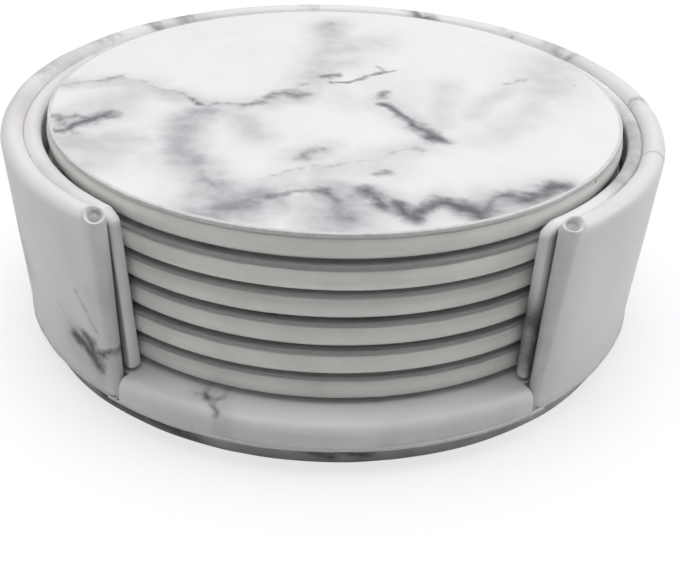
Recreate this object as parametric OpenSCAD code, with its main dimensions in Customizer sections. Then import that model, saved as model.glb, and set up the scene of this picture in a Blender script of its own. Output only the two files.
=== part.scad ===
// A set of round leather-covered drink coasters stacked in an open-fronted holder.
// The stack lies in a C-shaped wall on a round foot; each coaster lifts straight out.
// Millimetres. The origin is the centre of the underside, +Z is up, the opening faces -Y.

/* [Coasters] */
// Widest diameter of one coaster
coaster_d = 100; // [90:0.5:110]
// Thickness of one coaster
coaster_t = 4.8; // [4.2:0.1:6]
// How far the printed top sheet stops short of the coaster's widest edge
print_margin = 1.3; // [1.2:0.1:5]
// Thickness of the printed top sheet
print_t = 0.6; // [0.4:0.1:1]
// How far the shoulder stands in from the coaster's widest edge
shoulder_margin = 0.8; // [0.6:0.1:1.5]
// Radius of the soft lower edge, as a share of the side's height
edge_share = 0.48; // [0.3:0.02:0.5]
// Radius of the shoulder below the top sheet, as a share of the side's height
shoulder_share = 0.19; // [0.17:0.01:0.25]
// Width of the hem turned in over the board under the top sheet
hem_w = 7; // [4:0.5:12]

/* [Wall] */
// Space between the coasters and the liner at floor level, on the radius
foot_gap = 0.7; // [0.4:0.1:2]
// How much further out the wall stands at its rim than at the floor
wall_lean = 0.7; // [0:0.1:1.5]
// How far the rim stops below the top of the stack
rim_drop = 0.4; // [0:0.1:3]
// Thickness of the wall at its foot
wall_t = 1.9; // [1.8:0.1:3]
// Thickness of the rolled rim
rim_t = 3.5; // [2.4:0.1:4.5]
// Angle left open at the front, between the centres of the wall's two rounded ends
open_angle = 75; // [50:1:100]
// Radius of the open fold at each front corner of the rim
fold_r = 0.95; // [0.7:0.05:1.1]
// Depth of the open fold
fold_depth = 2.2; // [1:0.1:3]
// Upward tilt of the open fold
fold_tilt = 48; // [20:1:70]

/* [Liner] */
// Thickness of the inner strip
liner_t = 1.9; // [1.8:0.1:3]
// How far the inner strip stops below the rim
liner_drop = 0.9; // [0.2:0.1:3]
// Gap between the floor and the lower edge of the inner strip
liner_floor_gap = 0.3; // [0.1:0.1:1]
// How much further the inner strip reaches into the opening than the wall, as an angle
liner_reach = 0.4; // [0:0.1:2]

/* [Floor and foot] */
// How far the foot disc stands in from the wall's outer face
foot_inset = 1.3; // [0.3:0.1:3]
// Thickness of the foot disc
foot_t = 4.1; // [3:0.1:6]
// Rounding of the foot disc's lower edge
foot_round = 0.6; // [0.2:0.1:1]
// Thickness of the padded floor
floor_t = 4.3; // [3.4:0.1:6]
// How far the front lip stands out past the foot of the wall
lip_reach = 0.8; // [0.5:0.1:2]
// Rounding of the front lip's upper edge
lip_round = 1.9; // [0.9:0.1:2.2]
// Angle that the front lip leaves free beside each wall end
lip_side_gap = 0.4; // [0.2:0.1:2]
// Angle that the corner tab of the lip reaches round the wall
tab_angle = 2.6; // [1:0.1:5]

/* [Materials] */
// Thickness of the leather covering
leather_t = 0.6; // [0.4:0.05:0.8]
// Space taken by glue between a board and its covering
glue_gap = 0.05; // [0.02:0.01:0.1]
// Width of the raw leather edge that stands out at the foot of the wall and of the lip
raw_edge = 0.3; // [0.1:0.05:0.5]
// Height of the raw leather edge
raw_edge_h = 0.5; // [0.3:0.1:1]

/* [Hidden] */
COASTER_NAMES = ["coaster_1", "coaster_2", "coaster_3", "coaster_4", "coaster_5", "coaster_6"];
$fn = 96;

// Hand-laid stack: each coaster's sideways place, as shares of the gap round its underside
stack_x_shares = [0.3, 0.1, 0.4, 0.1, 0.25, 0.75];
stack_y_shares = [0.1, -0.25, 0.1, 0.2, -0.15, 0.05];

// Overrun of every cut past the face it opens
over = 1;
// The strips' rounded ends are this much thinner than the strips, to join them at a clean edge
end_step = 0.04;
// The wall's rounded ends stop this far above its flat foot
end_lift = 0.1;

coaster_r = coaster_d / 2;
print_r = coaster_r - print_margin;
shoulder_r = coaster_r - shoulder_margin;
coaster_count = len(COASTER_NAMES);
side_h = coaster_t - print_t;
edge_round = side_h * edge_share;
shoulder_round = side_h * shoulder_share;
floor_z = foot_t + floor_t;
stack_top = floor_z + coaster_count * coaster_t;
rim_z = stack_top - rim_drop;

// Slope that the wall and the inner strip share
lean_slope = wall_lean / (rim_z - floor_z);
liner_top_z = rim_z - liner_drop;
liner_low_z = floor_z + liner_floor_gap;

// Middle lines of the two strips, as [radius, height] of the round centres at foot and rim
function inner_face_r(z) = coaster_r + foot_gap + lean_slope * (z - floor_z);
liner_r = liner_t / 2;
liner_foot = [inner_face_r(liner_low_z) + liner_r, liner_low_z + liner_r];
liner_head = [inner_face_r(liner_top_z) + liner_r, liner_top_z - liner_r];
wall_foot_r = wall_t / 2;
rim_r = rim_t / 2;
wall_foot = [inner_face_r(foot_t) + liner_t + glue_gap + wall_foot_r, foot_t];
wall_head = [inner_face_r(rim_z) + liner_t + glue_gap + rim_r, rim_z - rim_r];

// The front faces -Y, so the strips start and end beside 270 degrees
front_angle = 270;
half_open = open_angle / 2;
liner_half = half_open - liner_reach;

// The floor fills the inside of the wall, and its lip fills the opening
floor_r = inner_face_r(foot_t) + liner_t - glue_gap;
wall_foot_out = wall_foot[0] + wall_foot_r;
foot_r = wall_foot_out - foot_inset;
lip_r = wall_foot_out + lip_reach;
lip_half = half_open - lip_side_gap - asin((wall_foot_r + raw_edge) / wall_foot[0]);

marble = [0.91, 0.90, 0.91];
plain = [0.76, 0.76, 0.74];
greyboard = [0.62, 0.58, 0.52];
printed = [0.94, 0.93, 0.94];

// Unit normal of the line that touches two circles on their right, going from a to b
function tangent_normal(a, ra, b, rb) =
    let (d = b - a, l = norm(d), u = d / l, c = (ra - rb) / l, s = sqrt(1 - c * c))
    [u[0] * c + u[1] * s, u[1] * c - u[0] * s];

// Outline that wraps two circles: the strip's cross-section
module strip_section(a, ra, b, rb) {
    right = tangent_normal(a, ra, b, rb);
    left = tangent_normal(b, rb, a, ra);
    polygon([a + ra * right, b + rb * right, b + rb * left, a + ra * left]);
    translate(a) circle(r = ra);
    translate(b) circle(r = rb);
}

// Rounded upright end of a strip: a tapered post, cut off flat at low
module end_post(a, ra, b, rb, low) {
    slant = b - a;
    length = norm(slant);
    translate([a[0], 0, a[1]])
        rotate([0, atan2(slant[0], slant[1]), 0])
            rotate([0, 0, 90])
                rotate_extrude()
                    intersection() {
                        strip_section([0, 0], ra, [0, length], rb);
                        translate([0, low]) square([length, length * 2]);
                    }
}

// Strip bent into an open ring, drawn in by inset on every face and cut off flat at low.
// Heights here are counted from the centre of the strip's lower round.
module bent_strip(a, ra, b, rb, half, inset, low) {
    end_angle = half + asin(inset / a[0]);
    rotate_extrude(start = front_angle + end_angle, angle = 360 - 2 * end_angle)
        intersection() {
            strip_section(a, ra - inset, b, rb - inset);
            translate([0, a[1] + low]) square([a[0] + b[0], b[1] * 2]);
        }
}

// The same strip with rounded upright ends
module round_ended_strip(a, ra, b, rb, half, low) {
    bent_strip(a, ra, b, rb, half, 0, low);
    for (side = [-1, 1])
        rotate([0, 0, front_angle + side * half])
            mirror([0, side > 0 ? 1 : 0, 0])
                end_post(a, ra - end_step, b, rb - end_step, low + end_lift);
}

// Half of a coaster's cross-section, drawn in by inset on every face but the top
module coaster_section(inset, top) {
    low = [coaster_r - edge_round, edge_round];
    high = [shoulder_r - shoulder_round, side_h - shoulder_round];
    low_r = edge_round - inset;
    high_r = shoulder_round - inset;
    n = tangent_normal(low, low_r, high, high_r);
    intersection() {
        union() {
            polygon([
                [0, inset], [low[0], inset], low + low_r * n,
                high + high_r * n, [high[0], side_h - inset], [0, side_h - inset]
            ]);
            translate(low) circle(r = low_r);
            translate(high) circle(r = high_r);
        }
        square([coaster_r, top]);
    }
}

// Shape of one coaster's board: a disc whose rim is pressed in under the hem
module coaster_board() {
    inset = leather_t + glue_gap;
    color(greyboard)
        rotate_extrude() {
            coaster_section(inset, side_h);
            square([print_r - hem_w - glue_gap, side_h - glue_gap]);
        }
}

// Plain leather that wraps the underside and edge and turns in over the board
module coaster_cover() {
    color(plain)
        rotate_extrude()
            difference() {
                coaster_section(0, side_h);
                coaster_section(leather_t, side_h);
                square([print_r - hem_w, coaster_t]);
                translate([0, leather_t]) square([print_r - hem_w, coaster_t]);
            }
}

// Printed sheet glued on top, with its cut edge showing all round
module coaster_print() {
    color(printed)
        translate([0, 0, side_h])
            cylinder(r = print_r, h = print_t);
}

// Puts a coaster piece at its place in the stack, counted from the bottom
module in_stack(i) {
    low_z = floor_z + i * coaster_t;
    gap = inner_face_r(low_z) - coaster_r;
    translate([stack_x_shares[i] * gap, stack_y_shares[i] * gap, low_z])
        children();
}

// Foot disc under the floor
module foot_board() {
    inset = leather_t + glue_gap;
    color(greyboard)
        translate([0, 0, inset])
            cylinder(r = foot_r - inset, h = foot_t - 2 * inset);
}

// Leather round the foot disc
module foot_cover() {
    color(marble)
        difference() {
            rotate_extrude() {
                square([foot_r - foot_round, foot_t]);
                translate([0, foot_round]) square([foot_r, foot_t - foot_round]);
                translate([foot_r - foot_round, foot_round]) circle(r = foot_round);
            }
            translate([0, 0, leather_t])
                cylinder(r = foot_r - leather_t, h = foot_t - 2 * leather_t);
        }
}

// Half section of the floor's front lip, drawn in by inset
module lip_section(inset) {
    round_r = lip_round - inset;
    translate([0, foot_t + inset]) square([lip_r - lip_round, floor_t - 2 * inset]);
    translate([0, foot_t + inset]) square([lip_r - inset, floor_t - lip_round - inset]);
    translate([lip_r - lip_round, floor_z - lip_round]) circle(r = round_r);
}

// The floor: a disc inside the wall and a lip in the opening, drawn in by inset
module floor_form(inset) {
    side = asin(inset / lip_r);
    translate([0, 0, foot_t + inset])
        cylinder(r = floor_r - inset, h = floor_t - 2 * inset);
    rotate_extrude(start = front_angle - lip_half + side, angle = 2 * (lip_half - side))
        lip_section(inset);
}

module floor_board() {
    color(greyboard)
        floor_form(leather_t + glue_gap);
}

// Leather over the floor, down its front lip and a little way round both corners
module floor_cover() {
    tab_half = half_open + tab_angle;
    tab_in_r = wall_foot_out + raw_edge + glue_gap;
    color(marble) {
        difference() {
            floor_form(0);
            floor_form(leather_t);
        }
        rotate_extrude(start = front_angle - tab_half, angle = 2 * tab_half)
            translate([tab_in_r, foot_t]) square([lip_r + raw_edge - tab_in_r, raw_edge_h]);
    }
}

// Space inside the wall's leather, drawn in by inset from its outside
module wall_core(inset) {
    bent_strip(wall_foot, wall_foot_r, wall_head, rim_r, half_open, inset, inset);
}

// The wall's outside, standing on the foot disc
module wall_outside() {
    round_ended_strip(wall_foot, wall_foot_r, wall_head, rim_r, half_open, 0);
}

// Post along the open fold at both front corners of the rim
module fold_posts(r, depth) {
    for (side = [-1, 1])
        rotate([0, 0, front_angle + side * half_open])
            translate([wall_head[0], 0, wall_head[1]])
                rotate([side * (90 - fold_tilt), 0, 0])
                    translate([0, 0, rim_r + over - depth])
                        cylinder(r = r, h = depth);
}

module wall_board() {
    inset = leather_t + glue_gap;
    color(greyboard)
        difference() {
            wall_core(inset);
            fold_posts(fold_r + inset, fold_depth + over + inset);
        }
}

// Leather round the wall board, rolled over the rim, with an open fold at each corner
// and its raw edge standing out a little along the foot
module wall_cover() {
    color(marble) {
        difference() {
            union() {
                difference() {
                    wall_outside();
                    wall_core(leather_t);
                }
                intersection() {
                    wall_core(0);
                    fold_posts(fold_r + leather_t, fold_depth + over + leather_t);
                }
            }
            fold_posts(fold_r, fold_depth + over);
        }
        rotate_extrude(start = front_angle + half_open, angle = 360 - 2 * half_open)
            translate([wall_foot_out - leather_t / 2, foot_t])
                square([leather_t / 2 + raw_edge, raw_edge_h]);
    }
}

module liner_board() {
    inset = leather_t + glue_gap;
    color(greyboard)
        bent_strip(liner_foot, liner_r, liner_head, liner_r, liner_half, inset, -liner_t);
}

// Leather round the inner strip
module liner_cover() {
    color(marble)
        difference() {
            round_ended_strip(liner_foot, liner_r, liner_head, liner_r, liner_half, -liner_t);
            bent_strip(liner_foot, liner_r, liner_head, liner_r, liner_half, leather_t, -liner_t);
        }
}

foot_board();
foot_cover();
floor_board();
floor_cover();
wall_board();
wall_cover();
liner_board();
liner_cover();
for (i = [0 : coaster_count - 1]) {
    in_stack(i) coaster_board();
    in_stack(i) coaster_cover();
    in_stack(i) coaster_print();
}
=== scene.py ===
# The looks of a stack of round leather-covered coasters in an open-fronted holder.
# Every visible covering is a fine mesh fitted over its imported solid; sizes come from the frame.
import math
import random

import bmesh
import bpy
import numpy as np
from mathutils import Matrix, Vector, noise


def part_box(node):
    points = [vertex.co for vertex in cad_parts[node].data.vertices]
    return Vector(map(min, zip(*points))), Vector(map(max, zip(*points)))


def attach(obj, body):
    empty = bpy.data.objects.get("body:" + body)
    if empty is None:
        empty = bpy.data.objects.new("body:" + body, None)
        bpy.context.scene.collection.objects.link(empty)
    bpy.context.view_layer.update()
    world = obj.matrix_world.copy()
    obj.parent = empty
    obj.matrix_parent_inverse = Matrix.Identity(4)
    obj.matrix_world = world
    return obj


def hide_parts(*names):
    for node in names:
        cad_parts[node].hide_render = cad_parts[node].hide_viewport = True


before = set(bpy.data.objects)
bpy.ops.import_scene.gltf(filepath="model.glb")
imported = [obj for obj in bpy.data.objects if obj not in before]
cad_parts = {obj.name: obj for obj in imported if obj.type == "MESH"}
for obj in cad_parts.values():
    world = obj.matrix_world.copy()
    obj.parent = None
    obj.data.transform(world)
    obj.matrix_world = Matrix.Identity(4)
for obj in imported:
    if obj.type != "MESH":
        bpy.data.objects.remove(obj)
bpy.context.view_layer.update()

MM = 0.001
SEED = 63

# The photograph's frame, and the camera that matches it
PHOTO_W, PHOTO_H = 680, 584
CAMERA_DISTANCE = 217.3 * MM
CAMERA_ELEVATION = math.radians(32.06)
CAMERA_ROLL = math.radians(1.56)
CAMERA_TARGET_Z = -4.03 * MM
FOCAL_PX = 1121.5
AXIS_PX = (328.6, 300.3)
SENSOR_MM = 36.0

COASTERS = ["coaster_%d" % n for n in range(1, 7)]

# Sizes read from the frame; the rim is drawn this much inside its solid, as the photograph shows it
RIM_TRIM = 0.3 * MM
foot_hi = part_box("foot_cover")[1]
wall_lo, wall_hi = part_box("wall_cover")
liner_lo, liner_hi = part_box("liner_cover")
FOOT_R, FOOT_TOP = foot_hi.x, foot_hi.z
FLOOR_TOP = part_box("floor_cover")[1].z
WALL_FOOT_Z = wall_lo.z
RIM_R, RIM_TOP = wall_hi.x - RIM_TRIM, wall_hi.z
LINER_FOOT, LINER_TOP = liner_lo.z, liner_hi.z
STACK_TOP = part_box(COASTERS[-1] + "_print")[1].z


# Small numeric helpers

NOISE_FALL = 1.0
NOISE_GAP = 2.0
RING_R = 50 * MM


def fractal(x, y, z, size, octaves=3):
    """Smooth noise about -1 to 1 whose largest lumps measure size."""
    spot = Vector((x, y, z)) / size
    return noise.fractal(spot, NOISE_FALL, NOISE_GAP, octaves, noise_basis="PERLIN_ORIGINAL")


def ring_noise(theta, seed, size, octaves=3):
    """Noise along an angle, which comes back to its start after a full turn."""
    return fractal(math.cos(theta) * RING_R, math.sin(theta) * RING_R, seed, size, octaves)


def spaced(start, stop, step):
    """Evenly spaced values from start to stop, no further apart than step."""
    count = max(1, int(math.ceil(abs(stop - start) / step)))
    return [start + (stop - start) * k / count for k in range(count + 1)]


def smoothstep(edge0, edge1, x):
    """0 up to edge0 and 1 from edge1 on, with a soft rise between them."""
    t = np.clip((x - edge0) / (edge1 - edge0), 0, 1)
    return t * t * (3 - 2 * t)


def full_turn(step):
    """Angles round a full turn, no further apart than step degrees."""
    return spaced(0, 2 * math.pi, math.radians(step))[:-1]


def front_angle(flat):
    """Angle of each point from the front, in radians, counted to the right."""
    return np.arctan2(flat[:, 0], -flat[:, 1])


def axis_distance(flat):
    return np.hypot(flat[:, 0], flat[:, 1])


# Camera, and the way from a photograph pixel to a place on the object

CLIP_NEAR = 0.01
CLIP_FAR = 10
LEAN_TRIES = 4


def camera_axes():
    """The camera's place, and the directions forward, right and up of its picture."""
    e = CAMERA_ELEVATION
    place = Vector((0, -CAMERA_DISTANCE * math.cos(e), CAMERA_DISTANCE * math.sin(e) + CAMERA_TARGET_Z))
    forward = Vector((0, math.cos(e), -math.sin(e)))
    side = Vector((1, 0, 0))
    up = side.cross(forward)
    c, s = math.cos(CAMERA_ROLL), math.sin(CAMERA_ROLL)
    return place, forward, c * side + s * up, -s * side + c * up


def pixel_ray(px):
    """The camera's place, and the direction in which it sees photograph pixel px."""
    place, forward, right, up = camera_axes()
    across, down = (px[0] - AXIS_PX[0]) / FOCAL_PX, (px[1] - AXIS_PX[1]) / FOCAL_PX
    return place, forward + across * right - down * up


def on_plane(px, z):
    """The point at height z that shows at photograph pixel px."""
    place, ray = pixel_ray(px)
    return place + ray * ((z - place.z) / ray.z)


def on_wall(px):
    """Angle from the front in degrees and height share of the wall point at photograph pixel px."""
    place, ray = pixel_ray(px)
    a, b = ray.x ** 2 + ray.y ** 2, place.x * ray.x + place.y * ray.y
    share = 0.5
    for _ in range(LEAN_TRIES):
        r = wall_foot_out + (RIM_R - wall_foot_out) * share
        c = place.x ** 2 + place.y ** 2 - r * r
        p = place + ray * ((-b - math.sqrt(max(b * b - a * c, 0))) / a)
        share = min(max((p.z - WALL_FOOT_Z) / (RIM_TOP - WALL_FOOT_Z), 0), 1)
    return math.degrees(math.atan2(p.x, -p.y)), share


def on_rim(px):
    """Angle from the front in degrees, and height share, of the rim point at photograph pixel px."""
    p = on_plane(px, RIM_TOP)
    return math.degrees(math.atan2(p.x, -p.y)), 1.0


def make_camera():
    place, forward, right, up = camera_axes()
    data = bpy.data.cameras.new("camera")
    data.sensor_width = SENSOR_MM
    data.lens = FOCAL_PX / PHOTO_W * SENSOR_MM
    data.shift_x = (PHOTO_W / 2 - AXIS_PX[0]) / PHOTO_W
    data.shift_y = (AXIS_PX[1] - PHOTO_H / 2) / PHOTO_W
    data.clip_start = CLIP_NEAR
    data.clip_end = CLIP_FAR
    camera = bpy.data.objects.new("camera", data)
    turn = Matrix((right, up, -forward)).transposed()
    camera.matrix_world = Matrix.Translation(place) @ turn.to_4x4()
    bpy.context.collection.objects.link(camera)
    bpy.context.scene.camera = camera


# Meshes

WELD = 1e-6
SLIVER = 1e-7
SHARP_ANGLE = math.radians(40)


def grid_faces(rows, cols):
    """Quads of a grid of points whose last row joins its first."""
    row, col = np.meshgrid(np.arange(rows), np.arange(cols - 1), indexing="ij")
    after = (row + 1) % rows
    near, far = row * cols + col, after * cols + col
    return np.stack([near, near + 1, far + 1, far], -1).reshape(-1, 4)


def end_faces(rows, cols):
    """The two faces that close a grid whose last row joins its first."""
    return [[k * cols + end for k in range(rows)] for end in (0, cols - 1)]


def make_piece(name, points, faces, marks, materials, face_slots=None):
    """A smooth-shaded mesh with named point values, welded where its points meet."""
    mesh = bpy.data.meshes.new(name)
    mesh.from_pydata([tuple(p) for p in points], [], [tuple(int(i) for i in f) for f in faces])
    for key, values in marks.items():
        layer = mesh.attributes.new(key, "FLOAT", "POINT")
        layer.data.foreach_set("value", np.asarray(values, np.float32))
    for material in materials:
        mesh.materials.append(material)
    if face_slots is not None:
        mesh.polygons.foreach_set("material_index", np.asarray(face_slots, np.int32))
    bm = bmesh.new()
    bm.from_mesh(mesh)
    bmesh.ops.remove_doubles(bm, verts=bm.verts, dist=WELD)
    bmesh.ops.dissolve_degenerate(bm, edges=bm.edges, dist=SLIVER)
    bmesh.ops.recalc_face_normals(bm, faces=bm.faces)
    bm.to_mesh(mesh)
    bm.free()
    mesh.shade_smooth()
    mesh.set_sharp_from_angle(angle=SHARP_ANGLE)
    piece = bpy.data.objects.new(name, mesh)
    bpy.context.collection.objects.link(piece)
    return piece


def dress(piece, body, node):
    """Gives a piece its body, and hides the CAD node in whose place it is drawn."""
    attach(piece, body)
    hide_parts(node)


# Marble pattern: each stroke has its path, its half width and its darkness

TINY = 1e-12
WARP_SIZE = 3.2 * MM
WARP_AMOUNT = 0.9 * MM
WARP_APART = (0.37, -0.61, 5.3)
STEPS_FROM_TO = (5, 11)
STEP_TURN = 0.45
TWIG_CHANCE = 0.5
TWIG_TURN_FROM_TO = (0.6, 0.9)
TWIG_STEP_SHARE = 0.7
TWIG_WIDTH_SHARE = 0.6
TWIG_DARK_SHARE = 0.8


def distance_to(flat, path):
    """Distance of each flat point from a path of straight steps."""
    path = np.asarray(path, float)
    best = np.full(len(flat), np.inf)
    for a, b in zip(path[:-1], path[1:]):
        ab = b - a
        t = np.clip(((flat - a) @ ab) / max(ab @ ab, TINY), 0, 1)
        best = np.minimum(best, np.linalg.norm(flat - a - t[:, None] * ab, axis=1))
    return best


def stroke_field(flat, strokes):
    """Vein value of each flat point: the strongest of all strokes, fading evenly with distance."""
    field = np.zeros(len(flat))
    for path, half_width, dark in strokes:
        field = np.maximum(field, dark * np.clip(1 - distance_to(flat, path) / half_width, 0, 1))
    return field


def cloud_field(flat, strokes):
    """Soft grey value of each flat point: the strongest of all strokes, with a bell-shaped falloff."""
    field = np.zeros(len(flat))
    for path, half_width, dark in strokes:
        field = np.maximum(field, dark * np.exp(-((distance_to(flat, path) / half_width) ** 2)))
    return field


def pattern(flat, veins, clouds):
    """The mesh marks that print veins and clouds on flat points."""
    return {"vein": stroke_field(flat, veins), "cloud": cloud_field(flat, clouds)}


def scaled(strokes, unit):
    """The strokes with their places counted in units of so many metres, in metres."""
    return [([(x * unit, y * unit) for x, y in path], width * MM, dark) for path, width, dark in strokes]


def warped(flat, size, amount, seed):
    """The flat points shaken by smooth noise, so that straight strokes come out ragged."""
    out = np.array(flat, float)
    for k, (x, y) in enumerate(flat):
        out[k, 0] += amount * fractal(x, y, seed, size)
        out[k, 1] += amount * fractal(x + WARP_APART[0], y + WARP_APART[1], seed + WARP_APART[2], size)
    return out


def random_strokes(rng, reach, count, step, half_width, dark):
    """Wandering vein paths inside a flat square, each with a chance of a side branch."""
    strokes = []
    for _ in range(count):
        x, y = rng.uniform(-reach, reach), rng.uniform(-reach, reach)
        heading = rng.uniform(0, 2 * math.pi)
        path = [(x, y)]
        for _ in range(rng.randint(*STEPS_FROM_TO)):
            heading += rng.gauss(0, STEP_TURN)
            x += step * math.cos(heading)
            y += step * math.sin(heading)
            path.append((x, y))
        weight = rng.uniform(0.5, 1)
        strokes.append((path, half_width * rng.uniform(0.6, 0.9), dark * weight))
        if rng.random() < TWIG_CHANCE:
            root = path[len(path) // 2]
            turn = heading + rng.choice((-1, 1)) * rng.uniform(*TWIG_TURN_FROM_TO)
            dx, dy = step * TWIG_STEP_SHARE * math.cos(turn), step * TWIG_STEP_SHARE * math.sin(turn)
            twig = [(root[0] + k * dx, root[1] + k * dy) for k in range(5)]
            strokes.append((twig, half_width * TWIG_WIDTH_SHARE, dark * weight * TWIG_DARK_SHARE))
    return strokes


# The uppermost coaster's strokes: photograph pixels, half width in millimetres, darkness
TOP_VEINS_PX = [
    ([(62, 85), (80, 82), (105, 80), (117, 78), (135, 79), (151, 84), (168, 91), (184, 95), (198, 102)],
     0.8, 0.55),
    ([(105, 80), (117, 78), (124, 78)], 1.3, 0.65),
    ([(192, 99), (199, 103), (203, 104)], 1.0, 0.85),
    ([(198, 102), (208, 105), (228, 104), (248, 105), (263, 101), (277, 97), (297, 95)], 1.2, 0.55),
    ([(243, 105), (254, 104), (262, 102)], 1.6, 0.7),
    ([(270, 97), (285, 93), (297, 96), (303, 94)], 2.0, 0.75),
    ([(285, 92), (297, 87), (307, 83)], 1.0, 0.5),
    ([(50, 114), (62, 119), (74, 115), (85, 118), (100, 115), (109, 114)], 1.3, 0.75),
    ([(57, 131), (70, 128), (79, 123), (91, 118), (109, 117)], 1.6, 0.95),
    ([(84, 121), (96, 118), (108, 114)], 2.4, 0.9),
    ([(60, 121), (66, 127), (73, 133)], 1.4, 0.7),
    ([(330, 82), (346, 83), (362, 80), (377, 73), (393, 71)], 1.0, 0.85),
    ([(377, 66), (384, 70)], 0.8, 0.6),
    ([(322, 77), (331, 75), (338, 75)], 1.4, 0.8),
    ([(386, 92), (384, 97)], 1.6, 0.75),
    ([(381, 104), (393, 108), (403, 117), (415, 126)], 1.2, 0.9),
    ([(421, 128), (429, 132), (437, 139)], 2.6, 0.9),
    ([(429, 132), (431, 138)], 2.2, 0.9),
    ([(415, 149), (424, 150)], 1.5, 0.55),
    ([(303, 156), (313, 153), (322, 150)], 1.9, 0.65),
    ([(259, 180), (287, 172), (313, 166), (327, 166), (350, 162), (375, 159), (395, 153), (415, 147)],
     0.7, 0.45),
    ([(263, 197), (277, 196), (291, 191), (307, 190), (323, 190), (331, 194), (336, 201)], 1.2, 0.7),
    ([(318, 190), (326, 190)], 1.8, 0.75),
    ([(377, 176), (384, 173), (391, 172)], 1.5, 0.75),
    ([(364, 190), (373, 196), (380, 203), (386, 208)], 2.2, 0.85),
    ([(397, 205), (405, 213), (412, 218), (418, 216)], 2.0, 1.0),
    ([(403, 209), (409, 217)], 2.6, 1.0),
    ([(418, 215), (428, 205), (440, 201), (450, 201), (458, 205)], 1.9, 0.95),
    ([(436, 203), (448, 203), (456, 205)], 2.6, 1.0),
    ([(458, 205), (466, 211), (476, 214), (484, 212)], 2.6, 1.0),
    ([(470, 210), (480, 215)], 3.2, 1.0),
    ([(484, 210), (490, 200), (502, 196), (514, 197)], 1.2, 0.8),
    ([(514, 197), (524, 200), (535, 197)], 3.0, 0.85),
    ([(529, 194), (541, 197), (547, 190), (556, 186)], 2.2, 0.9),
    ([(549, 190), (556, 187), (564, 187)], 2.8, 0.85),
    ([(508, 84), (520, 81), (528, 80)], 1.0, 0.5),
    ([(472, 115), (488, 99), (508, 85)], 0.8, 0.25),
    ([(119, 42), (159, 44), (178, 46), (208, 45), (248, 45)], 0.8, 0.25),
    ([(127, 138), (140, 131), (151, 127)], 0.7, 0.3),
    ([(145, 155), (162, 153), (178, 152)], 0.7, 0.3),
    ([(576, 85), (578, 86)], 0.6, 0.7),
    ([(200, 171), (213, 186)], 1.2, 0.45),
    ([(331, 24), (334, 30)], 1.6, 0.4),
    ([(335, 216), (349, 218)], 2.2, 0.5),
]
TOP_CLOUDS_PX = [
    ([(70, 84), (120, 82), (150, 88), (190, 100), (240, 107), (300, 97)], 2.0, 0.45),
    ([(48, 118), (70, 112), (100, 100), (125, 88)], 2.2, 0.34),
    ([(52, 140), (75, 150), (95, 162)], 3.2, 0.34),
    ([(128, 150), (155, 158), (178, 150)], 2.2, 0.22),
    ([(300, 96), (314, 82), (324, 66)], 2.6, 0.5),
    ([(228, 190), (258, 192), (290, 188)], 2.4, 0.55),
    ([(300, 176), (320, 182), (352, 186)], 2.2, 0.3),
    ([(520, 112), (500, 128), (470, 140)], 2.2, 0.22),
    ([(232, 218), (224, 224)], 3.4, 0.5),
    ([(109, 113), (122, 98), (140, 86)], 3.0, 0.42),
    ([(58, 120), (80, 122), (106, 116)], 2.6, 0.5),
    ([(62, 138), (88, 146), (104, 144), (122, 143)], 3.6, 0.5),
    ([(84, 164), (100, 154), (118, 147)], 2.6, 0.42),
    ([(206, 112), (190, 120), (182, 134), (181, 148), (188, 160), (199, 174), (213, 188), (226, 196)],
     2.7, 0.8),
    ([(200, 108), (236, 113), (248, 126), (254, 135)], 2.6, 0.42),
    ([(216, 190), (240, 196), (262, 197)], 3.4, 0.95),
    ([(212, 214), (232, 208), (250, 202)], 4.2, 0.95),
    ([(262, 198), (300, 191), (330, 192)], 2.0, 0.5),
    ([(338, 196), (345, 208), (340, 222)], 4.4, 0.9),
    ([(345, 195), (364, 192), (380, 200)], 2.8, 0.6),
    ([(331, 24), (329, 40), (326, 60), (312, 78), (298, 92)], 2.6, 0.5),
    ([(333, 50), (352, 47), (372, 43)], 3.2, 0.42),
    ([(330, 66), (345, 60)], 3.0, 0.4),
    ([(302, 156), (322, 150)], 2.4, 0.5),
    ([(262, 184), (300, 174), (350, 164), (400, 152), (424, 145)], 2.4, 0.36),
    ([(340, 176), (360, 172), (380, 168)], 4.0, 0.3),
    ([(385, 100), (403, 115), (425, 130), (440, 140)], 2.2, 0.45),
    ([(445, 87), (441, 111), (437, 127), (425, 145)], 2.4, 0.3),
    ([(550, 64), (552, 76), (548, 90)], 4.4, 0.42),
    ([(470, 116), (490, 100), (520, 84), (545, 74)], 2.0, 0.3),
    ([(484, 138), (508, 127), (528, 111), (546, 93)], 2.6, 0.3),
    ([(372, 198), (384, 206), (402, 212), (420, 212), (445, 203), (470, 210)], 2.8, 0.6),
    ([(492, 207), (508, 205), (524, 202)], 3.4, 0.85),
    ([(530, 198), (548, 191), (560, 188)], 2.6, 0.7),
    ([(380, 80), (400, 90), (420, 100)], 4.0, 0.15),
    ([(330, 88), (350, 104), (372, 104)], 2.2, 0.25),
]


def top_strokes(strokes_px, centre, widen, strength):
    """The photographed strokes as flat paths round the coaster's centre, in metres."""
    out = []
    for path, half_width, dark in strokes_px:
        flat = []
        for px in path:
            p = on_plane(px, STACK_TOP)
            flat.append((p.x - centre.x, p.y - centre.y))
        out.append((flat, half_width * widen * MM, dark * strength))
    return out


# Materials

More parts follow.
